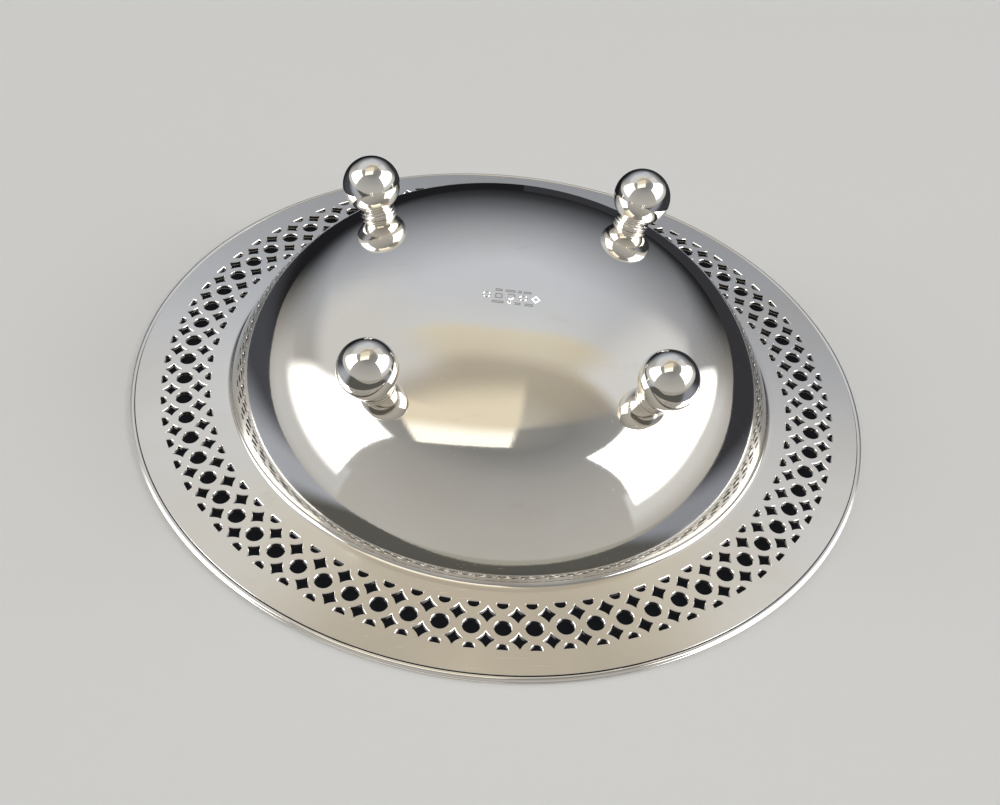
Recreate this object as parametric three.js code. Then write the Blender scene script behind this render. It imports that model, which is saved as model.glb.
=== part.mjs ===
// A round silver dish on four ball feet, with a pierced sloping rim. Millimetres, +Z up, feet down.
// The origin is on the table, under the middle of the dish.
import * as THREE from "three";
import { mergeVertices } from "three/addons/utils/BufferGeometryUtils.js";

// Driving dimensions.
const SHEET = 0.9; // gauge of the silver sheet
const GAP = 0.3; // left between two pieces that are soldered together
const RIM_RADIUS = 80; // out to the outside of the edge wire
const RIM_SLOPE = Math.tan(THREE.MathUtils.degToRad(7.6)); // the rim falls towards the well
const WIRE_RADIUS = 0.6;

const FLOOR_HEIGHT = 6.8; // underside of the middle of the bowl above the table
const FLOOR_RADIUS = 6; // the middle is flat out to here
// The bowl's underside from the flat outwards: arc radius and how steep the wall is at its end.
const BOWL_ARCS = [
  { radius: 102, slope: THREE.MathUtils.degToRad(18), steps: 3 },
  { radius: 28, slope: THREE.MathUtils.degToRad(48), steps: 4 },
  { radius: 42, slope: THREE.MathUtils.degToRad(70), steps: 4 },
  { radius: 12, slope: THREE.MathUtils.degToRad(82), steps: 2 },
];
const CREASE_FILLET = 1.2; // where the wall turns out into the rim
const FLANGE_RADIUS = 60.2; // the well's own narrow flange ends here and the rim begins

const REPEATS = 70; // pierced pattern, once round the rim
const PATTERN_START = THREE.MathUtils.degToRad(-0.9); // bearing of the first round hole
const ROUND_HOLE = { row: 68.5, radius: 1.75, sides: 8 };
const LOZENGE_ROWS = [65.5, 71.3];
const LOZENGE_HALF = 1.7;
const MOON_HALF_WIDTH = 1.12;
const MOON_DEPTH = 1.25;
const INNER_MOON_FLAT = 62.95;
const OUTER_MOON_FLAT = 73.4;

const SEAT_SLOPE = THREE.MathUtils.degToRad(22.5); // of the second bowl arc, where a foot stands
const BALL_RADIUS = 6.25;
const BALL_STEPS = 12; // from the worn flat up to the top
const WEAR = 0.05; // depth of the flat worn under each ball
const COLLAR_BORE = 1.5;
const COLLAR_RADIUS = 3.9;

const silver = (roughness) =>
  new THREE.MeshStandardMaterial({ color: 0xe9e6e0, metalness: 1, roughness });
const polished = silver(0.08);
const satin = silver(0.2);

const dish = new THREE.Group();
dish.name = "footed_dish";

function addMesh(parent, name, geometry, material) {
  const mesh = new THREE.Mesh(geometry, material);
  mesh.name = name;
  parent.add(mesh);
  return mesh;
}

// A solid of revolution about Z from [radius, height] pairs.
function turned(profile, segments) {
  const points = profile.map(([radius, height]) => new THREE.Vector2(radius, height));
  return new THREE.LatheGeometry(points, segments).rotateX(Math.PI / 2);
}

// The points of the bowl's wall as [radius, height], from the edge of the flat to the top of the
// flank. The offset moves them from the underside to the inner side of the sheet.
function bowlSide(offset) {
  const points = [[FLOOR_RADIUS, FLOOR_HEIGHT + offset]];
  let centre = { radius: FLOOR_RADIUS, height: FLOOR_HEIGHT };
  let reach = 0;
  let from = 0;
  for (const arc of BOWL_ARCS) {
    centre = {
      radius: centre.radius + (reach - arc.radius) * Math.sin(from),
      height: centre.height - (reach - arc.radius) * Math.cos(from),
    };
    reach = arc.radius;
    for (let step = 1; step <= arc.steps; step++) {
      const slope = from + ((arc.slope - from) * step) / arc.steps;
      points.push([
        centre.radius + (reach - offset) * Math.sin(slope),
        centre.height - (reach - offset) * Math.cos(slope),
      ]);
    }
    from = arc.slope;
  }
  return points;
}

// The rim's height follows from the bowl: its underside meets the top of the flank.
const [creaseRadius, creaseHeight] = bowlSide(0).at(-1);
const RIM_HEIGHT = creaseHeight + WIRE_RADIUS + RIM_SLOPE * (RIM_RADIUS - creaseRadius);

// Underside of the rim at a radius, and the upper side one sheet above it.
const rimUnder = (radius) => RIM_HEIGHT - WIRE_RADIUS - RIM_SLOPE * (RIM_RADIUS - radius);
const rimUpper = (radius) => rimUnder(radius) + SHEET * Math.hypot(1, RIM_SLOPE);

function wellProfile() {
  const outside = bowlSide(0).slice(0, -1);
  const inside = bowlSide(SHEET).slice(0, -1).reverse();
  const turn = CREASE_FILLET;
  return [
    [0, FLOOR_HEIGHT],
    ...outside,
    [creaseRadius - 0.3 * turn, creaseHeight - turn],
    [creaseRadius + 0.2 * turn, creaseHeight - 0.3 * turn],
    [creaseRadius + turn, rimUnder(creaseRadius + turn)],
    [FLANGE_RADIUS, rimUnder(FLANGE_RADIUS)],
    [FLANGE_RADIUS, rimUpper(FLANGE_RADIUS)],
    [creaseRadius + 0.2 * turn, rimUpper(creaseRadius + 0.2 * turn)],
    [creaseRadius - 0.8 * turn, creaseHeight - 0.4 * turn],
    ...inside,
    [0, FLOOR_HEIGHT + SHEET],
  ];
}

addMesh(dish, "well", turned(wellProfile(), REPEATS), polished);

// One repeat of the pierced rim, flat, with x along the middle radius. Each repeat runs from the
// middle of one pair of lozenges to the middle of the next, so its two sides have half-lozenge
// notches. An edge that is not a wall is one that the neighbouring repeat shares.
const PITCH = (2 * Math.PI) / REPEATS;
const RIM_INNER = FLANGE_RADIUS + GAP;
const RIM_OUTER = RIM_RADIUS - 2 * WIRE_RADIUS - GAP;

function repeatSide(side) {
  const along = new THREE.Vector2(Math.cos(PITCH / 2), side * Math.sin(PITCH / 2));
  const inward = new THREE.Vector2(along.y, -along.x).multiplyScalar(side);
  const at = (radius, shift) =>
    along.clone().multiplyScalar(radius).addScaledVector(inward, shift);
  const notches = LOZENGE_ROWS.flatMap((row) => [
    { point: at(row - LOZENGE_HALF, 0), wall: true },
    { point: at(row, LOZENGE_HALF), wall: true },
    { point: at(row + LOZENGE_HALF, 0), wall: false },
  ]);
  return [
    { point: at(RIM_INNER, 0), wall: false },
    ...notches,
    { point: at(RIM_OUTER, 0), wall: true },
  ];
}

// The wall flag of a point says whether the edge that leaves it is a wall, so the flags move on
// by one point when a side is walked back.
function walkedBack(side) {
  const points = side.map(({ point }) => point).reverse();
  const walls = side.map(({ wall }) => wall).slice(0, -1).reverse();
  return points.map((point, i) => ({ point, wall: i < walls.length ? walls[i] : true }));
}

function roundHole() {
  const { row, radius, sides } = ROUND_HOLE;
  return Array.from({ length: sides }, (_, i) => {
    const angle = ((i + 0.5) * 2 * Math.PI) / sides;
    return new THREE.Vector2(row + radius * Math.cos(angle), radius * Math.sin(angle));
  });
}

// A half-moon with its flat side at a radius and its round side a signed depth from it.
function halfMoon(flat, depth) {
  const corners = [
    [0, -1],
    [0.75, -0.7],
    [0.75, 0.7],
    [0, 1],
  ];
  const points = corners.map(
    ([u, v]) => new THREE.Vector2(flat + u * depth, v * MOON_HALF_WIDTH),
  );
  return depth > 0 ? points : points.reverse();
}

function piercedRim() {
  const contour = [...repeatSide(-1), ...walkedBack(repeatSide(1))];
  const outline = contour.map(({ point }) => point);
  const holes = [
    roundHole(),
    halfMoon(INNER_MOON_FLAT, MOON_DEPTH),
    halfMoon(OUTER_MOON_FLAT, -MOON_DEPTH),
  ].map((hole) => hole.reverse());
  const flat = [...outline, ...holes.flat()];
  const faces = THREE.ShapeUtils.triangulateShape(outline, holes);
  const wallEdges = contour.flatMap(({ wall }, i) => (wall ? [[i, (i + 1) % contour.length]] : []));
  let first = outline.length;
  for (const hole of holes) {
    hole.forEach((_, i) => wallEdges.push([first + i, first + ((i + 1) % hole.length)]));
    first += hole.length;
  }

  const positions = [];
  for (let repeat = 0; repeat < REPEATS; repeat++) {
    const turn = PATTERN_START + repeat * PITCH;
    const corner = (index, height) => {
      const spot = flat[index];
      const radius = spot.length();
      const angle = spot.angle() + turn;
      positions.push(radius * Math.cos(angle), radius * Math.sin(angle), height(radius));
    };
    for (const [a, b, c] of faces) {
      [a, b, c].forEach((index) => corner(index, rimUpper));
      [c, b, a].forEach((index) => corner(index, rimUnder));
    }
    for (const [a, b] of wallEdges) {
      corner(a, rimUpper);
      corner(a, rimUnder);
      corner(b, rimUnder);
      corner(a, rimUpper);
      corner(b, rimUnder);
      corner(b, rimUpper);
    }
  }
  const geometry = new THREE.BufferGeometry();
  geometry.setAttribute("position", new THREE.Float32BufferAttribute(positions, 3));
  const closed = mergeVertices(geometry, 1e-3);
  closed.computeVertexNormals();
  return closed;
}

addMesh(dish, "pierced_rim", piercedRim(), satin);

const wire = new THREE.TorusGeometry(RIM_RADIUS - WIRE_RADIUS, WIRE_RADIUS, 8, REPEATS);
addMesh(dish, "edge_wire", wire, polished).position.z = RIM_HEIGHT;

// A foot's own Z axis runs from the bowl out through the ball, square to the underside.
const [crown, shoulder] = BOWL_ARCS;
const [crownRadius, crownHeight] = bowlSide(0)[crown.steps];
const seatRadius =
  crownRadius + shoulder.radius * (Math.sin(SEAT_SLOPE) - Math.sin(crown.slope));
const seatHeight =
  crownHeight + shoulder.radius * (Math.cos(crown.slope) - Math.cos(SEAT_SLOPE));
const ballOffset = (seatHeight - BALL_RADIUS + WEAR) / Math.cos(SEAT_SLOPE);

// A ring with two fine beads round its edge. Its top is hollowed to cradle the ball.
function collarProfile() {
  const cradle = (radius) => ballOffset - Math.sqrt((BALL_RADIUS + GAP) ** 2 - radius ** 2);
  const lip = COLLAR_RADIUS - 0.6;
  const middle = (lip + COLLAR_BORE) / 2;
  const edge = cradle(lip);
  return [
    [COLLAR_BORE, GAP],
    [COLLAR_RADIUS, GAP],
    [COLLAR_RADIUS + 0.2, GAP + 0.3 * (edge - GAP)],
    [COLLAR_RADIUS - 0.4, GAP + 0.5 * (edge - GAP)],
    [COLLAR_RADIUS - 0.1, GAP + 0.75 * (edge - GAP)],
    [lip, edge - 0.05],
    [middle, cradle(middle) - 0.05],
    [COLLAR_BORE, cradle(COLLAR_BORE) - 0.05],
    [COLLAR_BORE, GAP],
  ];
}

// The ball, upright about its own middle, with the flat that standing on a table has worn on it.
function ballProfile() {
  const lowest = BALL_RADIUS - WEAR;
  const flat = Math.sqrt(BALL_RADIUS ** 2 - lowest ** 2);
  const start = Math.asin(flat / BALL_RADIUS);
  const profile = [[0, -lowest]];
  for (let step = 0; step < BALL_STEPS; step++) {
    const angle = start + ((Math.PI - start) * step) / BALL_STEPS;
    profile.push([BALL_RADIUS * Math.sin(angle), -BALL_RADIUS * Math.cos(angle)]);
  }
  profile.push([0, BALL_RADIUS]);
  return profile;
}

const QUARTERS = ["front_right", "back_right", "back_left", "front_left"];
QUARTERS.forEach((quarter, i) => {
  const bearing = new THREE.Group();
  bearing.rotation.z = -Math.PI / 4 + (i * Math.PI) / 2;
  const foot = new THREE.Group();
  foot.name = "foot_" + quarter;
  foot.position.set(seatRadius, 0, seatHeight);
  foot.rotation.y = Math.PI - SEAT_SLOPE;
  bearing.add(foot);
  dish.add(bearing);
  addMesh(foot, foot.name + "_collar", turned(collarProfile(), 20), polished);
  const ball = addMesh(foot, foot.name + "_ball", turned(ballProfile(), 20), polished);
  ball.position.z = ballOffset;
  ball.rotation.y = -foot.rotation.y;
});

export default dish;
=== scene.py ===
import math
import random

import bmesh
import bpy
from mathutils import Matrix, Vector
from mathutils.geometry import delaunay_2d_cdt


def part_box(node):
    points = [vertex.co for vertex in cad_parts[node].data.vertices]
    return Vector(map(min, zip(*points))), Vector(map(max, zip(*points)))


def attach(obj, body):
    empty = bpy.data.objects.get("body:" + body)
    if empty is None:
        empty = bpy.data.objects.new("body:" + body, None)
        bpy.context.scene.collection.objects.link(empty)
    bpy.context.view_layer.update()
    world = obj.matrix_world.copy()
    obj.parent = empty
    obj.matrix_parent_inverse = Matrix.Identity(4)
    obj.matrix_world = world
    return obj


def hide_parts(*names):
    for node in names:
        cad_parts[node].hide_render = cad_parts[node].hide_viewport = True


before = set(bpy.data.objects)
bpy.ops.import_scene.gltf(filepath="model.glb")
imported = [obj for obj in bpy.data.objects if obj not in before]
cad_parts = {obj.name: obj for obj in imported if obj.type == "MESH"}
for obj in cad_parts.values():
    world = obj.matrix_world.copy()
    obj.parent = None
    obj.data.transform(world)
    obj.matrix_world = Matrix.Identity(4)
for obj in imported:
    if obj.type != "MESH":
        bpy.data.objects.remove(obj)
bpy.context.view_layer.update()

# A round silver dish on four ball feet with a pierced rim. It stands feet down, and the main camera
# looks up at its underside. Lengths are millimetres until a mesh is made; MM turns them to metres.
MM = 0.001

# Sizes of the dish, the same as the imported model's.
SHEET = 0.9
RIM_SLOPE = math.tan(math.radians(7.6))
FLOOR_RADIUS = 6.0
BOWL_ARCS = [
    (102.0, math.radians(18)),
    (28.0, math.radians(48)),
    (42.0, math.radians(70)),
    (12.0, math.radians(82)),
]
CREASE_FILLET = 1.2
RIM_DROP = 0.6  # the rim's underside, carried out to the edge, is this far below the wire's middle
BALL_RADIUS = 6.25
BALL_WEAR = 0.05  # depth of the flat worn under each ball
SEAT_SLOPE = math.radians(22.5)
REPEATS = 70
PATTERN_START = math.radians(-0.9)
FLOOR_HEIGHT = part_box("well")[0].z / MM
RIM_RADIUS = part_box("edge_wire")[1].x / MM
RIM_HEIGHT = (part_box("edge_wire")[0].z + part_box("edge_wire")[1].z) / 2 / MM

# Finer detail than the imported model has.
AROUND = 4 * REPEATS  # steps round the dish
ARC_STEPS = [22, 22, 20, 6]  # steps along each arc of the bowl
FOOT_STEPS = 72  # steps round a foot
FLANGE_RADIUS = 60.35  # well and rim meet here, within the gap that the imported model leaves
WIRE_RADIUS = 0.65
RIM_OUTER = 78.88  # the rim's sheet ends here, a little way into the wire
EDGE_BEVEL = 0.06

# The middle of the underside, which carries the punched marks.
PATCH_RADIUS = 15.0
PATCH_RINGS = (13.5, 12, 10.5, 9, 7.5, 6, 4, 2)  # rings of plain points that fill the patch
PATCH_SEAM = 0.5  # the turned wall's next ring of points is at least this much further out
GROOVE_WIDTH = 0.26
GROOVE_DEPTH = 0.1
GROOVE_CLEARANCE = 0.45  # plain points keep this far from a groove

# The rim's rows of holes: each row's distance from the middle of the dish, and the holes' sizes,
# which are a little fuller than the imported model's.
INNER_MOONS = 62.95
INNER_LOZENGES = 65.5
ROUND_HOLES = 68.5
OUTER_LOZENGES = 71.3
OUTER_MOONS = 73.4
ROUND_HOLE_RADIUS = 1.75
LOZENGE_HALF = 1.72
LOZENGE_HOLLOW = 0.16
MOON_HALF = 1.16
MOON_DEPTH = 1.25
HOLE_BEVEL = 0.11
HOLE_SWAY = 0.07  # how far a sawn hole may stand off its place
HOLE_GROWTH = 0.025  # the share by which its size may be off
HOLE_TURN = 0.04  # the angle, in radians, by which it may be turned
PLAIN_RINGS = ((61.5, 0.5), (75.1, 0.5), (76.9, 0.0))  # radius and phase of the rim's plain points

# The camera, in the frame's own view angles: azimuth 0 looks along +Y.
CAMERA_AZIMUTH = math.radians(6.61)
CAMERA_ELEVATION = math.radians(-43.16)
CAMERA_ROLL = math.radians(186.67)
CAMERA_DISTANCE = 413.8
CAMERA_TARGET = Vector((0.03, -2.9, RIM_HEIGHT))
CAMERA_LENS = 68.0

# Painted reflection of the dark table and the room past its near edge, with painted sheen from each
# window: a glowing card that only the dish's reflections see.
TABLE_REACH = 2500
TABLE_EDGE = 0.17  # metres from the middle of the dish towards the camera
TABLE_SKEW = 1.2  # to the left, the near edge slants towards the camera by this slope
TABLE_BACK = (0.012, 0.012, 0.014, 1.0)
TABLE_FRONT = (0.095, 0.093, 0.085, 1.0)
TABLE_LEFT = (0.06, 0.063, 0.075, 1.0)
SHEEN_LEFT = (0.38, 0.40, 0.45, 1.0)
TABLE_RIGHT = (0.035, 0.036, 0.042, 1.0)
SHEEN_RIGHT = (0.26, 0.275, 0.32, 1.0)
BEYOND_FRONT = (0.36, 0.35, 0.31, 1.0)

# The stage that the camera sees.
PALE = (0.57, 0.57, 0.565, 1.0)
BACKDROP = (0.6, 0.6, 0.595, 1.0)
# SHADE: a dark card right behind the piercings, painted shade where the pale floor would show.
SHADE = (0.012, 0.013, 0.016, 1.0)
FLOOR_REACH = 9000
GAP = 0.05  # between the dish and the floors

# The room that only the dish's reflections see. Each wall's colours go from level, at 0, to
# straight up or down, at 1.
NEAR_WALL = [
    (0.0, (0.46, 0.445, 0.42)),
    (0.20, (0.43, 0.42, 0.405)),
    (0.55, (0.34, 0.335, 0.33)),
    (0.80, (0.22, 0.22, 0.215)),
    (0.95, (0.28, 0.275, 0.26)),
]
FAR_WALL = [
    (0.0, (0.012, 0.012, 0.014)),
    (0.06, (0.038, 0.041, 0.046)),
    (0.14, (0.13, 0.14, 0.16)),
    (0.26, (0.32, 0.34, 0.38)),
    (0.42, (0.55, 0.575, 0.63)),
    (0.555, (0.62, 0.64, 0.67)),
    (0.585, (0.68, 0.63, 0.51)),
    (0.65, (0.63, 0.58, 0.47)),
    (0.70, (0.45, 0.40, 0.33)),
    (0.77, (0.42, 0.38, 0.31)),
    (0.90, (0.52, 0.50, 0.44)),
]
FAR_WALL_LEFT = (1.0, 1.0, 1.0, 1.0)  # the far wall is dimmer to the right
FAR_WALL_RIGHT = (0.78, 0.76, 0.74, 1.0)
LAMP_FAR = (0.8, 0.72, 0.56, 1.0)
LAMP_NEAR = (1.3, 1.25, 1.12, 1.0)

# Soft-edged patches of light, laid over each other in this order: brightness, span of bearings and
# span of heights. A span is its two limits and the widths of its two soft edges, in degrees.
LIGHT_PATCHES = [
    (0.55, (-128.0, -57.0, 25.0, 1.5), (-3.0, 20.0, 8.0, 4.0)),  # glow round the left window
    (3.2, (-114.0, -61.0, 14.0, 1.5), (9.0, 54.0, 9.0, 4.0)),  # left window
    (0.65, (57.0, 130.0, 1.5, 20.0), (-1.0, 24.0, 12.0, 4.0)),  # glow round the right window
    (3.2, (60.0, 130.0, 1.5, 8.0), (13.0, 57.0, 6.0, 3.0)),  # right window
    (0.66, (112.0, 160.0, 12.0, 14.0), (30.0, 62.0, 8.0, 4.0)),  # lit wall, far right
    (0.62, (-165.0, -98.0, 20.0, 14.0), (28.0, 68.0, 12.0, 10.0)),  # lit wall, far left
]

SILVER = (0.955, 0.935, 0.895, 1.0)
SILVER_WARM = (0.93, 0.895, 0.83, 1.0)
TARNISH = (0.52, 0.46, 0.38, 1.0)
HOLE_WALL_SHADE = (0.03, 0.028, 0.026, 1.0)  # walls of the piercings, painted black as shade
CREASE_RADIUS = 58.4  # middle of the painted shade in the fold between bowl and rim
GRAIN_HEIGHT = 0.000002  # metres
SCRATCH_DEPTH = 0.000004  # metres


# ---------------------------------------------------------------- mesh code

def add_piece(name, vertices, faces, material, slot, node, normal_at=None):
    """A smooth-shaded piece from points in millimetres, which rides on the dish and stands for a
    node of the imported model."""
    mesh = bpy.data.meshes.new(name)
    mesh.from_pydata([Vector(v) * MM for v in vertices], [], faces)
    work = bmesh.new()
    work.from_mesh(mesh)
    bmesh.ops.recalc_face_normals(work, faces=work.faces)
    work.to_mesh(mesh)
    work.free()
    mesh.shade_smooth()
    mesh.set_sharp_from_angle(angle=math.radians(32))
    if normal_at:
        set_true_normals(mesh, normal_at)
    mesh.materials.append(material)
    piece = bpy.data.objects.new(name, mesh)
    bpy.context.scene.collection.objects.link(piece)
    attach(piece, "root")
    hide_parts(node)


def set_true_normals(mesh, normal_at):
    """Gives the corners of faces that lie along the ideal surface its exact normal."""
    normals = [Vector(corner.vector) for corner in mesh.corner_normals]
    close = math.cos(math.radians(8))
    for face in mesh.polygons:
        for loop in face.loop_indices:
            point = mesh.vertices[mesh.loops[loop].vertex_index].co / MM
            ideal = normal_at(point)
            if face.normal.dot(ideal) < 0:
                ideal = -ideal
            if face.normal.dot(ideal) > close:
                normals[loop] = ideal
    mesh.normals_split_custom_set(normals)


def turned(profile, segments, closed=False):
    """Points and faces of a turned solid about Z, from (radius, height) pairs."""
    vertices = []
    faces = []
    rings = []
    for radius, height in profile:
        if radius < 1e-6:
            rings.append([len(vertices)] * segments)
            vertices.append((0, 0, height))
            continue
        rings.append(list(range(len(vertices), len(vertices) + segments)))
        for step in range(segments):
            angle = 2 * math.pi * step / segments
            vertices.append((radius * math.cos(angle), radius * math.sin(angle), height))
    pairs = list(zip(rings, rings[1:]))
    if closed:
        pairs.append((rings[-1], rings[0]))
    for inner, outer in pairs:
        for step in range(segments):
            after = (step + 1) % segments
            corners = [inner[step], inner[after], outer[after], outer[step]]
            face = list(dict.fromkeys(corners))
            if len(face) > 2:
                faces.append(face)
    return vertices, faces


def rounded(corners, steps):
    """A profile with its corners turned into arcs of so many steps. Each corner is (radius,
    height, fillet), and one whose fillet is 0 stays sharp."""
    points = [Vector(corner[:2]) for corner in corners]
    path = []
    for i, (x, y, fillet) in enumerate(corners):
        here = points[i]
        if not fillet or i in (0, len(corners) - 1):
            path.append((x, y))
            continue
        back = (points[i - 1] - here).normalized()
        on = (points[i + 1] - here).normalized()
        half = back.angle(on) / 2
        trim = fillet / math.tan(half)
        centre = here + (back + on).normalized() * fillet / math.sin(half)
        start = here + back * trim - centre
        turn = start.angle_signed(here + on * trim - centre)
        for step in range(steps + 1):
            spoke = start.copy()
            spoke.rotate(Matrix.Rotation(-turn * step / steps, 2))
            path.append(tuple(centre + spoke))
    return path


def moved(vertices, matrix):
    return [matrix @ Vector(v) for v in vertices]


def ring_points(radius, count, phase=0.0):
    """Points evenly spaced on a circle about the origin, the first one phase steps on."""
    angles = [2 * math.pi * (step + phase) / count for step in range(count)]
    return [Vector((radius * math.cos(a), radius * math.sin(a))) for a in angles]


def loop_edges(first, count):
    """Edges that join a run of points into a closed loop."""
    return [(first + i, first + (i + 1) % count) for i in range(count)]


def weld(vertices, faces, places=4):
    """Joins points that coincide."""
    index = {}
    keep = []
    new = []
    for vertex in vertices:
        key = tuple(round(c, places) + 0.0 for c in vertex)
        if key not in index:
            index[key] = len(keep)
            keep.append(vertex)
        new.append(index[key])
    return keep, [[new[i] for i in face] for face in faces]


# ---------------------------------------------------------------- shape of the dish

def bowl_side(offset):
    """The bowl's wall as (radius, height), from the edge of the flat to the top of the flank, a
    distance inwards of the underside."""
    points = [(FLOOR_RADIUS, FLOOR_HEIGHT + offset)]
    centre_radius, centre_height = FLOOR_RADIUS, FLOOR_HEIGHT
    reach = 0.0
    start = 0.0
    for (arc_radius, end), steps in zip(BOWL_ARCS, ARC_STEPS):
        centre_radius += (reach - arc_radius) * math.sin(start)
        centre_height -= (reach - arc_radius) * math.cos(start)
        reach = arc_radius
        for step in range(1, steps + 1):
            slope = start + (end - start) * step / steps
            points.append((
                centre_radius + (reach - offset) * math.sin(slope),
                centre_height - (reach - offset) * math.cos(slope),
            ))
        start = end
    return points


def crown_slope(radius):
    return math.asin(max(radius - FLOOR_RADIUS, 0) / BOWL_ARCS[0][0])


def crown_height(radius):
    return FLOOR_HEIGHT + BOWL_ARCS[0][0] * (1 - math.cos(crown_slope(radius)))


def crown_normal(point):
    slope = crown_slope(math.hypot(point.x, point.y))
    out = Vector((point.x, point.y, 0))
    if out.length < 1e-6:
        return Vector((0, 0, -1))
    return out.normalized() * math.sin(slope) + Vector((0, 0, -math.cos(slope)))


def rim_under(radius):
    return RIM_HEIGHT - RIM_DROP - RIM_SLOPE * (RIM_RADIUS - radius)


def rim_upper(radius):
    return rim_under(radius) + SHEET * math.hypot(1, RIM_SLOPE)


def rim_normal(point):
    out = Vector((point.x, point.y, 0)).normalized()
    return (out * RIM_SLOPE - Vector((0, 0, 1))).normalized()


# ---------------------------------------------------------------- punched marks

def box_mark(half_width, half_height):
    corners = ((-1, -1), (1, -1), (1, 1), (-1, 1))
    return [Vector((x * half_width, y * half_height)) for x, y in corners]


def bar_mark(size):
    return box_mark(size, 0.24)


def square_mark(size):
    return box_mark(size * 0.85, size * 0.85)


def lozenge_mark(size):
    half = size * 0.8
    return [Vector((0, -size)), Vector((half, 0)), Vector((0, size)), Vector((-half, 0))]


def round_mark(size):
    return ring_points(size, 20)


def shield_mark(size):
    top = [Vector((-0.8, 0.9)), Vector((0.8, 0.9)), Vector((0.8, 0.1))]
    low = [Vector((0.6, -0.45)), Vector((0, -1)), Vector((-0.6, -0.45)), Vector((-0.8, 0.1))]
    return [size * point for point in top + low]


def offset_outline(outline, distance):
    """The outline moved outwards by a distance, corner by corner. Sharp corners move less far than
    a true offset takes them."""
    count = len(outline)
    area = sum(
        outline[i].x * outline[(i + 1) % count].y - outline[(i + 1) % count].x * outline[i].y
        for i in range(count)
    )
    side = 1 if area > 0 else -1
    result = []
    for i, here in enumerate(outline):
        before = (here - outline[i - 1]).normalized()
        after = (outline[(i + 1) % count] - here).normalized()
        out_before = Vector((before.y, -before.x)) * side
        out_after = Vector((after.y, -after.x)) * side
        out = (out_before + out_after).normalized()
        result.append(here + out * distance / max(out.dot(out_before), 0.4))
    return result


# Rows of plain punches: how far each row is from the middle, then its marks with their places.
MARK_ROWS = [
    (3.7, [
        (bar_mark(0.7), -3.3),
        (square_mark(0.34), -1.7),
        (bar_mark(0.9), 0.2),
        (bar_mark(0.6), 2.6),
    ]),
    (5.6, [
        (lozenge_mark(0.95), -5.2),
        (round_mark(0.75), -2.6),
        (shield_mark(0.9), 0.0),
        (square_mark(0.75), 2.5),
        (round_mark(0.75), 5.0),
    ]),
    (7.5, [
        (bar_mark(0.8), -3.8),
        (bar_mark(0.5), -1.5),
        (round_mark(0.3), 0.2),
        (bar_mark(1.1), 2.6),
    ]),
]


def placed_marks():
    """Outlines of the marks where they stand on the underside, in rows square to the camera."""
    down = Vector((math.sin(CAMERA_AZIMUTH), -math.cos(CAMERA_AZIMUTH)))
    along = Vector((-down.y, down.x))
    outlines = []
    for row, marks in MARK_ROWS:
        for mark, place in marks:
            outlines.append([along * (place + p.x) + down * (row - p.y) for p in mark])
    return outlines


def marked_patch(start_index):
    """The middle of the underside with its marks cut in: points, and faces that start counting
    the points at start_index."""
    points = ring_points(PATCH_RADIUS, AROUND)
    edges = loop_edges(0, AROUND)
    depth = {}
    for outline in placed_marks():
        loops = [
            (offset_outline(outline, GROOVE_WIDTH / 2), 0.0),
            (outline, GROOVE_DEPTH),
            (offset_outline(outline, -GROOVE_WIDTH / 2), 0.0),
        ]
        for loop, sunk in loops:
            first = len(points)
            points += loop
            edges += loop_edges(first, len(loop))
            depth.update((first + i, sunk) for i in range(len(loop)))
    grooves = [points[i] for i in depth]
    for ring in PATCH_RINGS:
        for spot in ring_points(ring, round(ring * 6)):
            if min((spot - groove).length for groove in grooves) > GROOVE_CLEARANCE:
                points.append(spot)
    flat, _, faces, origins, _, _ = delaunay_2d_cdt(points, edges, [], 0, 1e-6)
    vertices = []
    for spot, origin in zip(flat, origins):
        sunk = max((depth.get(i, 0.0) for i in origin), default=0.0)
        vertices.append((spot.x, spot.y, crown_height(spot.length) + sunk))
    return vertices, [[start_index + i for i in face] for face in faces]


# ---------------------------------------------------------------- well

def clear_of(points, corner):
    """The points of a profile that lie beyond the fillet of one of its corners."""
    return [point for point in points if math.dist(point[:2], corner[:2]) > 0.85 * corner[2]]


def well_normal(point):
    """Exact normal of the patch under the bowl; elsewhere the mesh's own normal is good enough."""
    in_patch = math.hypot(point.x, point.y) < PATCH_RADIUS + PATCH_SEAM / 2
    if in_patch and point.z < FLOOR_HEIGHT + SHEET / 2:
        return crown_normal(point)
    return Vector((0, 0, 0))


def add_well(material):
    """The bowl and its flange: a turned wall, closed underneath by the patch with the marks."""
    outside = [(r, h, 0) for r, h in bowl_side(0)]
    inside = [(r, h, 0) for r, h in bowl_side(SHEET)]
    crease_radius, crease_height, _ = outside[-1]
    wall = BOWL_ARCS[-1][1]
    rim = math.atan(RIM_SLOPE)
    inward = (math.sin(wall) + math.sin(rim)) / (1 + math.cos(wall - rim))
    inner_crease = crease_radius - SHEET * inward
    outside_turn = (crease_radius, crease_height, CREASE_FILLET)
    inside_turn = (inner_crease, rim_upper(inner_crease), CREASE_FILLET + SHEET)
    outside = [point for point in outside if point[0] > PATCH_RADIUS + PATCH_SEAM]
    path = [(PATCH_RADIUS, crown_height(PATCH_RADIUS), 0)]
    path += clear_of(outside, outside_turn)
    path += [
        outside_turn,
        (FLANGE_RADIUS, rim_under(FLANGE_RADIUS), 0),
        (FLANGE_RADIUS, rim_upper(FLANGE_RADIUS), 0),
        inside_turn,
    ]
    path += clear_of(inside[::-1], inside_turn)
    path.append((0, FLOOR_HEIGHT + SHEET, 0))
    vertices, faces = turned(rounded(path, 10), AROUND)
    patch_vertices, patch_faces = marked_patch(len(vertices))
    joined = weld(vertices + patch_vertices, faces + patch_faces)
    add_piece("polished_well", *joined, material, "bright_silver", "well", well_normal)


# ---------------------------------------------------------------- pierced rim

def round_hole():
    return [Vector((ROUND_HOLES, 0)) + p for p in ring_points(ROUND_HOLE_RADIUS, 28)]


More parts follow.
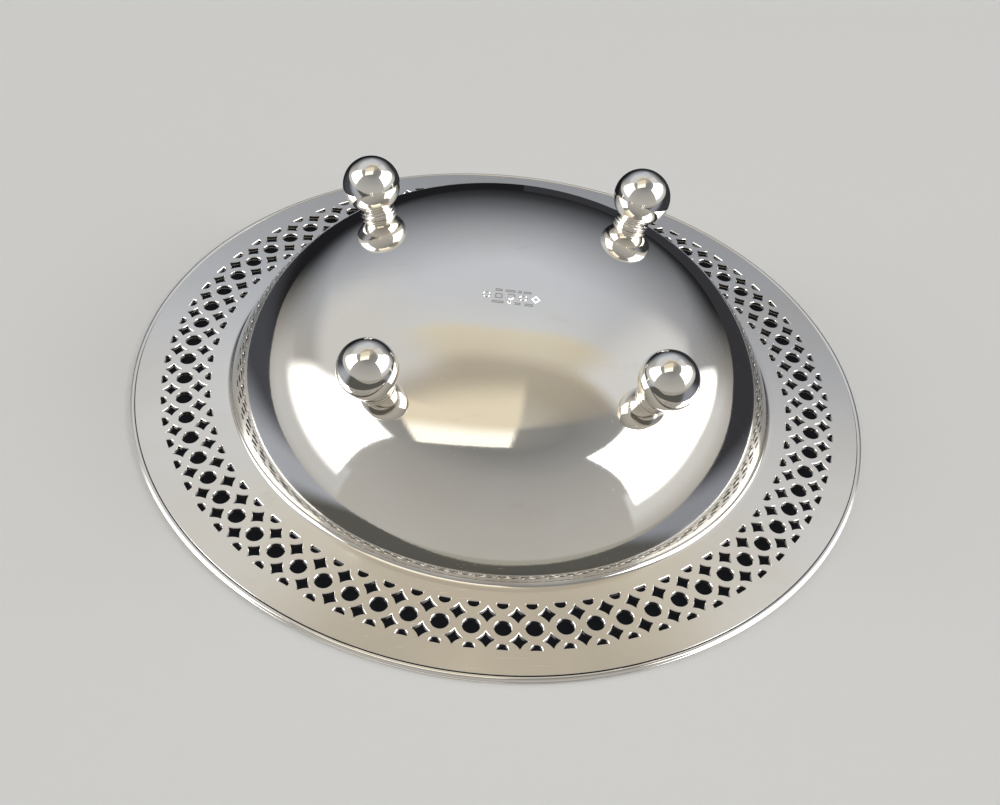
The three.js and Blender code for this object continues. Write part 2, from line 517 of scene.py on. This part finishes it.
def lozenge_hole(row):
    """A square standing on its corner, its sides drawn in a little."""
    half = LOZENGE_HALF
    corners = [Vector((half, 0)), Vector((0, half)), Vector((-half, 0)), Vector((0, -half))]
    steps = 6
    outline = []
    for corner, following in zip(corners, corners[1:] + corners[:1]):
        for step in range(steps):
            share = step / steps
            point = corner.lerp(following, share)
            hollow = LOZENGE_HOLLOW * math.sin(math.pi * share)
            outline.append(Vector((row, 0)) + point - (corner + following).normalized() * hollow)
    return outline


def moon_hole(row, depth):
    """A half-moon: flat on one side, round on the side that faces the row of round holes."""
    steps = 12
    outline = []
    for step in range(steps + 1):
        angle = math.pi * step / steps
        bulge = depth * math.sin(angle) ** 0.9
        outline.append(Vector((row + bulge, -MOON_HALF * math.cos(angle))))
    return outline


def rim_holes():
    """Outlines of every hole, laid out on a flat drawing of the rim, each a little off as sawn."""
    wobble = random.Random(12)
    holes = []
    pitch = 2 * math.pi / REPEATS
    for repeat in range(REPEATS):
        for outline, half_step in (
            (round_hole(), 0),
            (moon_hole(INNER_MOONS, MOON_DEPTH), 0),
            (moon_hole(OUTER_MOONS, -MOON_DEPTH), 0),
            (lozenge_hole(INNER_LOZENGES), 0.5),
            (lozenge_hole(OUTER_LOZENGES), 0.5),
        ):
            centre = sum(outline, Vector((0, 0))) / len(outline)
            size = 1 + wobble.uniform(-HOLE_GROWTH, HOLE_GROWTH)
            sway_out = wobble.uniform(-HOLE_SWAY, HOLE_SWAY)
            sway_round = wobble.uniform(-HOLE_SWAY, HOLE_SWAY)
            shift = Vector((sway_out, sway_round))
            turn = Matrix.Rotation(wobble.uniform(-HOLE_TURN, HOLE_TURN), 2)
            place = Matrix.Rotation(PATTERN_START + (repeat + half_step) * pitch, 2)
            holes.append([place @ (centre + shift + turn @ (p - centre) * size) for p in outline])
    return holes


def inside_outline(point, outline):
    """Whether a ray from the point crosses the outline an odd number of times."""
    inside = False
    for a, b in zip(outline, outline[1:] + outline[:1]):
        if (a.y > point.y) != (b.y > point.y):
            if point.x < a.x + (point.y - a.y) * (b.x - a.x) / (b.y - a.y):
                inside = not inside
    return inside


def rim_sheet(walls):
    """The rim drawn flat and cut into triangles: its points, the triangles that are metal, and for
    each wall the numbers of the points along it."""
    points = []
    edges = []
    owner = {}
    runs = []
    for number, (face_loop, _, _, _) in enumerate(walls):
        run = range(len(points), len(points) + len(face_loop))
        runs.append(run)
        points += face_loop
        edges += loop_edges(run.start, len(run))
        owner.update((i, number) for i in run)
    for radius, phase in PLAIN_RINGS:
        points += ring_points(radius, AROUND, phase)
    flat, _, triangles, origins, _, _ = delaunay_2d_cdt(points, edges, [], 0, 1e-6)
    source = [origin[0] if origin else -1 for origin in origins]
    metal = []
    for triangle in triangles:
        owners = {owner.get(source[i]) for i in triangle}
        if len(owners) == 1 and None not in owners:
            face_loop, _, _, is_open = walls[owners.pop()]
            centre = sum((flat[i] for i in triangle), Vector((0, 0))) / 3
            if is_open and inside_outline(centre, face_loop):
                continue
        metal.append(triangle)
    number_of = {origin: i for i, origin in enumerate(source)}
    return flat, metal, [[number_of[i] for i in run] for run in runs]


def add_rim(material):
    """The pierced ring. A wall is its outline on the faces, its outline below the bevel, the bevel,
    and whether the sheet is open inside it."""
    inner_edge = ring_points(FLANGE_RADIUS, AROUND)
    outer_edge = ring_points(RIM_OUTER, AROUND)
    outer_face = ring_points(RIM_OUTER - EDGE_BEVEL, AROUND)
    walls = [
        (inner_edge, inner_edge, EDGE_BEVEL, True),
        (outer_face, outer_edge, EDGE_BEVEL, False),
    ]
    for hole in rim_holes():
        walls.append((offset_outline(hole, HOLE_BEVEL), hole, HOLE_BEVEL, True))
    flat, metal, runs = rim_sheet(walls)
    vertices = [(p.x, p.y, rim_under(p.length)) for p in flat]
    vertices += [(p.x, p.y, rim_upper(p.length)) for p in flat]
    count = len(flat)
    faces = [list(t) for t in metal] + [[count + i for i in reversed(t)] for t in metal]
    for low, (_, wall_loop, bevel, _) in zip(runs, walls):
        size = len(low)
        high = [count + i for i in low]
        low_wall = list(range(len(vertices), len(vertices) + size))
        vertices += [(p.x, p.y, rim_under(p.length) + bevel) for p in wall_loop]
        high_wall = list(range(len(vertices), len(vertices) + size))
        vertices += [(p.x, p.y, rim_upper(p.length) - bevel) for p in wall_loop]
        for lower, upper in ((low, low_wall), (low_wall, high_wall), (high_wall, high)):
            for i, j in loop_edges(0, size):
                faces.append([lower[i], lower[j], upper[j], upper[i]])
    add_piece(
        "pierced_rim_fine", vertices, faces, material, "rim_silver", "pierced_rim", rim_normal
    )


def add_edge_wire(material):
    steps = 20
    middle = RIM_RADIUS - WIRE_RADIUS
    profile = [
        (middle + WIRE_RADIUS * math.cos(a), RIM_HEIGHT + WIRE_RADIUS * math.sin(a))
        for a in (2 * math.pi * step / steps for step in range(steps))
    ]
    vertices, faces = turned(profile, AROUND, closed=True)
    add_piece("edge_wire_fine", vertices, faces, material, "bright_silver", "edge_wire")


# ---------------------------------------------------------------- feet

def collar_profile():
    """A low neck with two fine beads, from inside the bowl's sheet up into the ball."""
    return rounded([
        (0, -0.7, 0),
        (3.7, -0.7, 0),
        (3.7, 0.12, 0.08),
        (4.0, 0.2, 0.1),
        (4.0, 0.55, 0.14),
        (3.45, 0.66, 0.05),
        (3.45, 0.8, 0.05),
        (3.75, 0.88, 0.1),
        (3.75, 1.2, 0.12),
        (3.2, 1.3, 0.05),
        (2.9, 1.7, 0.15),
        (2.9, 2.6, 0),
        (0, 2.8, 0),
    ], 4)


def ball_profile():
    """A ball about its own middle, with the small flat that wear has left underneath. The flat's
    edge is eased over into the ball."""
    lowest = BALL_RADIUS - BALL_WEAR
    flat = math.sqrt(BALL_RADIUS ** 2 - lowest ** 2)
    steps = 44
    points = [(0, -lowest), (flat * 0.5, -lowest), (flat * 0.85, -lowest + BALL_WEAR * 0.04)]
    start = math.asin(flat * 1.2 / BALL_RADIUS)
    for step in range(steps + 1):
        angle = start + (math.pi - start) * step / steps
        radius = BALL_RADIUS * math.sin(angle) if step < steps else 0
        points.append((radius, -BALL_RADIUS * math.cos(angle)))
    return points


def seat_place():
    """Radius and height of the place on the bowl's shoulder where a foot is soldered."""
    crown_radius, crown_end = BOWL_ARCS[0]
    shoulder_radius = BOWL_ARCS[1][0]
    seat_radius = (
        FLOOR_RADIUS
        + crown_radius * math.sin(crown_end)
        + shoulder_radius * (math.sin(SEAT_SLOPE) - math.sin(crown_end))
    )
    seat_height = (
        FLOOR_HEIGHT
        + crown_radius * (1 - math.cos(crown_end))
        + shoulder_radius * (math.cos(crown_end) - math.cos(SEAT_SLOPE))
    )
    return seat_radius, seat_height


def add_feet(material):
    seat_radius, seat_height = seat_place()
    seat = Matrix.Translation((seat_radius, 0, seat_height))
    tilt = Matrix.Rotation(math.pi - SEAT_SLOPE, 4, "Y")
    collar_points, collar_faces = turned(collar_profile(), FOOT_STEPS)
    ball_points, ball_faces = turned(ball_profile(), FOOT_STEPS)
    quarters = ["front_right", "back_right", "back_left", "front_left"]
    for number, quarter in enumerate(quarters):
        bearing = Matrix.Rotation(-math.pi / 4 + number * math.pi / 2, 4, "Z")
        collar = "foot_" + quarter + "_collar"
        ball = "foot_" + quarter + "_ball"
        low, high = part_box(ball)
        middle = (low + high) / 2 / MM
        centre = Matrix.Translation((middle.x, middle.y, BALL_RADIUS - BALL_WEAR))
        for node, points, faces, place in (
            (collar, collar_points, collar_faces, bearing @ seat @ tilt),
            (ball, ball_points, ball_faces, centre),
        ):
            add_piece(
                node + "_fine", moved(points, place), faces, material, "bright_silver", node
            )


# ---------------------------------------------------------------- materials

class Nodes:
    """A short way to write node trees: values may be numbers or the outputs of other nodes."""

    def __init__(self, tree):
        self.tree = tree
        tree.nodes.clear()

    def add(self, kind, **settings):
        node = self.tree.nodes.new(kind)
        for name, value in settings.items():
            setattr(node, name, value)
        return node

    def put(self, socket, value):
        if isinstance(value, bpy.types.NodeSocket):
            self.tree.links.new(value, socket)
        else:
            socket.default_value = value

    def math(self, operation, *values):
        node = self.add("ShaderNodeMath", operation=operation)
        for socket, value in zip(node.inputs, values):
            self.put(socket, value)
        return node.outputs[0]

    def ramp(self, value, low, high, out_low=0.0, out_high=1.0):
        node = self.add("ShaderNodeMapRange", interpolation_type="SMOOTHSTEP")
        self.put(node.inputs["Value"], value)
        self.put(node.inputs["From Min"], low)
        self.put(node.inputs["From Max"], high)
        self.put(node.inputs["To Min"], out_low)
        self.put(node.inputs["To Max"], out_high)
        return node.outputs["Result"]

    def mix(self, factor, first, second, blend="MIX"):
        node = self.add("ShaderNodeMix", data_type="RGBA", blend_type=blend)
        self.put(node.inputs[0], factor)
        self.put(node.inputs[6], first)
        self.put(node.inputs[7], second)
        return node.outputs[2]

    def dot(self, vector, axis):
        node = self.add("ShaderNodeVectorMath", operation="DOT_PRODUCT")
        self.put(node.inputs[0], vector)
        node.inputs[1].default_value = axis
        return node.outputs["Value"]

    def colours(self, value, stops):
        node = self.add("ShaderNodeValToRGB")
        elements = node.color_ramp.elements
        while len(elements) < len(stops):
            elements.new(0.5)
        for element, (position, colour) in zip(elements, stops):
            element.position = position
            element.color = (*colour, 1.0)
        self.put(node.inputs[0], value)
        return node.outputs[0]

    def noise(self, vector, scale, detail=2.0, roughness=0.5):
        node = self.add("ShaderNodeTexNoise")
        self.put(node.inputs["Vector"], vector)
        self.put(node.inputs["Scale"], scale)
        self.put(node.inputs["Detail"], detail)
        self.put(node.inputs["Roughness"], roughness)
        return node.outputs[0]

    def parts(self, vector):
        """The three parts of a vector."""
        node = self.add("ShaderNodeSeparateXYZ")
        self.put(node.inputs[0], vector)
        return node.outputs

    def between(self, value, low, high, soft_low, soft_high):
        """1 between two limits and 0 outside them, with edges of the given widths."""
        return self.math(
            "MULTIPLY",
            self.ramp(value, low, low + soft_low),
            self.ramp(value, high - soft_high, high, 1.0, 0.0),
        )

    def panel(self, across, up):
        """A soft-edged patch: each of its two spans is a value, two limits and two edge widths."""
        return self.math("MULTIPLY", self.between(*across), self.between(*up))


# Directions of the scratches from cleaning: the turn of each, the scratches' length and width in
# metres, and how much sparser than the others they are.
HAIRLINES = [
    ((0.1, 0.2, 0.5), 0.022, 0.00016, 0.0),
    ((0.3, 0.1, 1.9), 0.016, 0.00013, 0.0),
    ((0.2, 0.4, 2.9), 0.03, 0.0002, 0.02),
]


def hairlines(nodes, coordinates, turn, length, width, share):
    """Sparse fine scratches in one direction: 1 on a scratch, 0 between. They start where the
    noise passes share."""
    mapping = nodes.add("ShaderNodeMapping")
    nodes.put(mapping.inputs["Vector"], coordinates)
    mapping.inputs["Rotation"].default_value = turn
    mapping.inputs["Scale"].default_value = (1 / length, 1 / width, 1 / width)
    streaks = nodes.noise(mapping.outputs[0], 1.0, 1.0)
    return nodes.ramp(streaks, share, share + 0.05)


def painted_hole_shade(nodes):
    """1 on faces square to the sheet, such as the walls of the piercings: where the painted shade
    goes.
    """
    upward = nodes.parts(nodes.add("ShaderNodeTexCoord").outputs["Normal"])[2]
    return nodes.ramp(nodes.math("ABSOLUTE", upward), 0.3, 0.5, 1.0, 0.0)


def silver_material(name, roughness, scratch_share, wave, pierced=False):
    """Polished silver with hairlines, faint tarnish and a sheet's slow unevenness, whose height
    is wave metres, and painted shade in the fold between bowl and rim. On a pierced sheet the walls
    of the piercings are painted black as shade."""
    material = bpy.data.materials.new(name)
    material.use_nodes = True
    nodes = Nodes(material.node_tree)
    coordinates = nodes.add("ShaderNodeTexCoord").outputs["Object"]
    clouds = nodes.noise(coordinates, 42.0, 4.0, 0.55)
    patches = nodes.noise(coordinates, 150.0, 5.0, 0.6)
    spots = nodes.ramp(patches, 0.62, 0.82)
    scratches = 0.0
    for turn, length, width, sparser in HAIRLINES:
        lines = hairlines(nodes, coordinates, turn, length, width, scratch_share + sparser)
        scratches = nodes.math("MAXIMUM", scratches, lines)

    metal = nodes.mix(nodes.ramp(clouds, 0.3, 0.7), SILVER, SILVER_WARM)
    metal = nodes.mix(nodes.math("MULTIPLY", spots, 0.16), metal, TARNISH)
    # Painted shade in the fold between bowl and rim, in the colour of tarnish.
    metal = nodes.mix(nodes.math("MULTIPLY", crease_shade(nodes, coordinates), 0.5), metal, TARNISH)
    # Painted shade: the walls of the piercings, and the rim's outer wall, are painted black.
    if pierced:
        metal = nodes.mix(painted_hole_shade(nodes), metal, HOLE_WALL_SHADE)

    rough = nodes.ramp(clouds, 0.3, 0.75, roughness * 0.75, roughness * 1.35)
    rough = nodes.math("ADD", rough, nodes.math("MULTIPLY", spots, 0.05))
    rough = nodes.math("ADD", rough, nodes.math("MULTIPLY", scratches, 0.12))

    waviness = nodes.math("MULTIPLY", nodes.noise(coordinates, 38.0, 1.0), wave)
    grain = nodes.math("MULTIPLY", nodes.noise(coordinates, 1400.0, 2.0), GRAIN_HEIGHT)
    cut = nodes.math("MULTIPLY", scratches, -SCRATCH_DEPTH)
    relief = nodes.math("ADD", waviness, nodes.math("ADD", grain, cut))
    bump = nodes.add("ShaderNodeBump")
    bump.inputs["Strength"].default_value = 1.0
    bump.inputs["Distance"].default_value = 1.0
    nodes.put(bump.inputs["Height"], relief)

    shader = nodes.add("ShaderNodeBsdfPrincipled")
    shader.inputs["Metallic"].default_value = 1.0
    nodes.put(shader.inputs["Base Color"], metal)
    nodes.put(shader.inputs["Roughness"], rough)
    nodes.put(shader.inputs["Normal"], bump.outputs[0])
    output = nodes.add("ShaderNodeOutputMaterial")
    nodes.put(output.inputs["Surface"], shader.outputs[0])
    return material


def crease_shade(nodes, coordinates):
    """Painted shade in the fold between the bowl and the rim, in the colour of tarnish, uneven
    round the dish.
    """
    x, y, _ = nodes.parts(coordinates)
    square = nodes.math("ADD", nodes.math("MULTIPLY", x, x), nodes.math("MULTIPLY", y, y))
    radius = nodes.math("SQRT", square)
    away = nodes.math("ABSOLUTE", nodes.math("SUBTRACT", radius, CREASE_RADIUS * MM))
    near = nodes.ramp(away, 0.1 * MM, 0.8 * MM, 1.0, 0.0)
    return nodes.math("MULTIPLY", near, nodes.ramp(nodes.noise(coordinates, 90.0, 3.0), 0.3, 0.7))


# ---------------------------------------------------------------- stage

def camera_axes():
    flat = math.cos(CAMERA_ELEVATION)
    back = Vector((
        math.sin(CAMERA_AZIMUTH) * flat,
        -math.cos(CAMERA_AZIMUTH) * flat,
        math.sin(CAMERA_ELEVATION),
    ))
    level = Vector((math.cos(CAMERA_AZIMUTH), math.sin(CAMERA_AZIMUTH), 0))
    upright = back.cross(level)
    right = level * math.cos(CAMERA_ROLL) + upright * math.sin(CAMERA_ROLL)
    return right, back.cross(right), back


def add_camera():
    right, up, back = camera_axes()
    data = bpy.data.cameras.new("camera")
    data.lens = CAMERA_LENS
    data.sensor_width = 36.0
    data.clip_start = 0.01
    camera = bpy.data.objects.new("camera", data)
    bpy.context.scene.collection.objects.link(camera)
    turn = Matrix((right, up, back)).transposed().to_4x4()
    place = (CAMERA_TARGET + back * CAMERA_DISTANCE) * MM
    camera.matrix_world = Matrix.Translation(place) @ turn
    bpy.context.scene.camera = camera


def one_sided(name, paint):
    """A material that shows from the face's front and lets everything through from its back."""
    material = bpy.data.materials.new(name)
    material.use_nodes = True
    nodes = Nodes(material.node_tree)
    choice = nodes.add("ShaderNodeMixShader")
    nodes.put(choice.inputs[0], nodes.add("ShaderNodeNewGeometry").outputs["Backfacing"])
    nodes.put(choice.inputs[1], paint(nodes))
    nodes.put(choice.inputs[2], nodes.add("ShaderNodeBsdfTransparent").outputs[0])
    output = nodes.add("ShaderNodeOutputMaterial")
    nodes.put(output.inputs["Surface"], choice.outputs[0])
    return material


def matt(colour):
    def paint(nodes):
        shader = nodes.add("ShaderNodeBsdfDiffuse")
        shader.inputs["Color"].default_value = colour
        return shader.outputs[0]

    return paint


def below_table_level(nodes):
    """Painted reflection, as glowing colour, of what the dish's lower side sees towards the table:
    a black top with a painted cool sheen from each window, and the room in front of the table past
    its near edge."""
    position = nodes.add("ShaderNodeTexCoord").outputs["Object"]
    bearing, ahead, aside = bearing_from_camera(nodes, position)
    seen = nodes.mix(nodes.ramp(ahead, -0.05, 0.07), TABLE_BACK, TABLE_FRONT)
    left = nodes.mix(nodes.ramp(bearing, -100.0, -70.0), TABLE_LEFT, SHEEN_LEFT)
    seen = nodes.mix(nodes.ramp(bearing, -46.0, -60.0), seen, left)
    seen = nodes.mix(nodes.ramp(bearing, -112.0, -140.0), seen, TABLE_BACK)
    right = nodes.mix(nodes.ramp(bearing, 98.0, 70.0), TABLE_RIGHT, SHEEN_RIGHT)
    seen = nodes.mix(nodes.ramp(bearing, 44.0, 58.0), seen, right)
    to_left = nodes.math("MINIMUM", aside, 0.0)
    to_edge = nodes.math("ADD", ahead, nodes.math("MULTIPLY", to_left, TABLE_SKEW))
    past_front = nodes.ramp(to_edge, TABLE_EDGE, 1.06 * TABLE_EDGE)
    seen = nodes.mix(past_front, seen, BEYOND_FRONT)
    shader = nodes.add("ShaderNodeEmission")
    nodes.put(shader.inputs["Color"], seen)
    return shader.outputs[0]


def bearing_from_camera(nodes, direction):
    """Bearing in degrees from the camera's side towards the picture's right, and its two parts."""
    ahead_axis = Vector((math.sin(CAMERA_AZIMUTH), -math.cos(CAMERA_AZIMUTH), 0))
    aside_axis = Vector((ahead_axis.y, -ahead_axis.x, 0))
    ahead = nodes.dot(direction, ahead_axis)
    aside = nodes.dot(direction, aside_axis)
    return nodes.math("DEGREES", nodes.math("ARCTAN2", aside, ahead)), ahead, aside


def add_card(name, height, inner, outer, faces_up, material, hidden_from):
    """A wide flat ring of the stage, or a disc where inner is 0. The kinds of ray that it is
    hidden from pass through it."""
    vertices, faces = turned([(inner, height), (outer, height)], 96)
    mesh = bpy.data.meshes.new(name)
    mesh.from_pydata([Vector(v) * MM for v in vertices], [], faces)
    mesh.materials.append(material)
    if (mesh.polygons[0].normal.z > 0) != faces_up:
        mesh.flip_normals()
    card = bpy.data.objects.new(name, mesh)
    bpy.context.scene.collection.objects.link(card)
    for kind in hidden_from:
        setattr(card, "visible_" + kind, False)


def add_stage():
    """A pale floor under the feet, and for the camera below, the same floor at the rim's side. A
    dark card right behind the piercings paints shade there, and reflections meet a glowing card
    painted as a table of their own."""
    pale = one_sided("pale_floor", matt(PALE))
    hole_shade_card = one_sided("hole_shade_card", matt(SHADE))
    table_reflection_paint = one_sided("table_reflection_paint", below_table_level)
    rim_top = RIM_HEIGHT + WIRE_RADIUS + GAP
    shade_height = rim_top - 0.02
    shade_radius = RIM_RADIUS - 1.5
    table_height = RIM_HEIGHT - 0.9
    table_inner = RIM_RADIUS + 0.3
    seen_only = ("glossy", "diffuse", "shadow")
    mirrored_only = ("camera", "diffuse", "shadow")
    off_floor = (*seen_only, "transmission")
    add_card("floor", -GAP, 0, FLOOR_REACH, True, pale, off_floor)
    add_card("floor_at_rim", rim_top, 0, FLOOR_REACH, False, pale, off_floor)
    # Painted shade: a dark card seen only by the camera, right behind the piercings.
    add_card("shade_behind_holes", shade_height, 0, shade_radius, False, hole_shade_card, seen_only)
    # Painted reflection: a glowing card that only the dish's reflections see, standing in for the
    # table.
    add_card(
        "table_in_reflections", table_height, table_inner, TABLE_REACH, False, table_reflection_paint,
        mirrored_only,
    )


def add_softbox(name, place):
    """A round soft light that points at the dish, in metres. Neither the camera nor a reflection
    sees it."""
    data = bpy.data.lights.new(name, "AREA")
    data.shape = "DISK"
    data.size = 0.9
    data.energy = 3.0
    data.color = (1.0, 0.985, 0.96)
    light = bpy.data.objects.new(name, data)
    light.location = place
    light.rotation_euler = (-Vector(place)).to_track_quat("-Z", "Y").to_euler()
    light.visible_camera = False
    light.visible_glossy = False
    bpy.context.scene.collection.objects.link(light)


def add_room():
    """The soft light of a plain room, the same above the table as below it. Bearing is in degrees
    from the camera's side towards the picture's right, height is degrees from the level. The
    camera itself sees a plain backdrop."""
    world = bpy.data.worlds.new("room")
    world.use_nodes = True
    bpy.context.scene.world = world
    nodes = Nodes(world.node_tree)
    direction = nodes.add("ShaderNodeTexCoord").outputs["Generated"]
    bearing, ahead, aside = bearing_from_camera(nodes, direction)
    steep = nodes.math("ABSOLUTE", nodes.dot(direction, Vector((0, 0, 1))))
    height = nodes.math("DEGREES", nodes.math("ARCSINE", steep))
    share = nodes.math("DIVIDE", height, 90.0)

    dimming = nodes.mix(nodes.ramp(aside, 0.0, 0.5), FAR_WALL_LEFT, FAR_WALL_RIGHT)
    far_wall = nodes.mix(1.0, nodes.colours(share, FAR_WALL), dimming, "MULTIPLY")
    turned_away = nodes.ramp(nodes.math("ABSOLUTE", bearing), 112.0, 150.0)
    light = nodes.mix(turned_away, nodes.colours(share, NEAR_WALL), far_wall)

    # The lit patch of the ceiling, placed by where a direction meets a ceiling one unit up.
    rise = nodes.math("MAXIMUM", steep, 0.05)
    over_right = nodes.math("DIVIDE", aside, rise)
    over_front = nodes.math("DIVIDE", ahead, rise)
    slant = nodes.math("ADD", over_front, nodes.math("MULTIPLY", over_right, 0.25))
    lamp = nodes.panel((over_right, -0.50, 0.10, 0.06, 0.03), (slant, -0.46, 0.25, 0.22, 0.015))
    lamp_glow = nodes.mix(nodes.ramp(slant, -0.12, 0.12), LAMP_FAR, LAMP_NEAR)
    light = nodes.mix(lamp, light, lamp_glow)

    for brightness, bearings, heights in LIGHT_PATCHES:
        patch = nodes.panel((bearing, *bearings), (height, *heights))
        light = nodes.mix(patch, light, (brightness, brightness, brightness, 1.0))

    backdrop = nodes.add("ShaderNodeBackground")
    backdrop.inputs["Color"].default_value = BACKDROP
    room = nodes.add("ShaderNodeBackground")
    nodes.put(room.inputs["Color"], light)
    choice = nodes.add("ShaderNodeMixShader")
    nodes.put(choice.inputs[0], nodes.add("ShaderNodeLightPath").outputs["Is Camera Ray"])
    nodes.put(choice.inputs[1], room.outputs[0])
    nodes.put(choice.inputs[2], backdrop.outputs[0])
    output = nodes.add("ShaderNodeOutputWorld")
    nodes.put(output.inputs["Surface"], choice.outputs[0])


bright_silver = silver_material("bright_silver", 0.055, 0.77, 0.00006)
rim_silver = silver_material("rim_silver", 0.17, 0.76, 0.00003, pierced=True)
add_well(bright_silver)
add_rim(rim_silver)
add_edge_wire(bright_silver)
add_feet(bright_silver)

add_camera()
add_stage()
add_room()
add_softbox("softbox_above", (-0.3, -0.5, 1.2))
add_softbox("softbox_below", (-0.3, -0.5, -1.2))
bpy.context.scene.view_settings.view_transform = "Standard"
